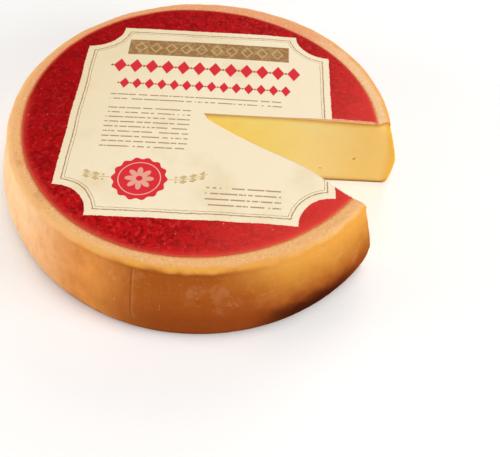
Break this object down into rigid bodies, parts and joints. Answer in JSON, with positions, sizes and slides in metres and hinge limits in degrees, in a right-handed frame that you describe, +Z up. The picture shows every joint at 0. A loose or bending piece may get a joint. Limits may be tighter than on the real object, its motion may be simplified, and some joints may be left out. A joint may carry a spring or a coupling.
{
  "type": "raclette cheese wheel with a wedge cut out",
  "caption": "Low round wheel of firm raclette cheese with a slumped washed rind, a wedge-shaped notch cut to its centre, and a thin round paper label over most of its flat top.",
  "frame": {"origin": "on the wheel's own axis, in the plane that it stands on", "axes": "+Z up along the wheel's axis; -Y towards the front; the notch opens outwards between the directions of +X and of the front right"},
  "size_m": [0.3186, 0.3202, 0.0699],
  "materials": {
    "rind": "washed rind, orange-brown on the side and paler on top, with yellow paste in the cuts",
    "label_paper": "thin printed paper, red and cream, with a soft sheen"
  },
  "bodies": {
    "root": {"cheese_wheel": "rind", "paper_label": "label_paper"}
  },
  "joints": []
}
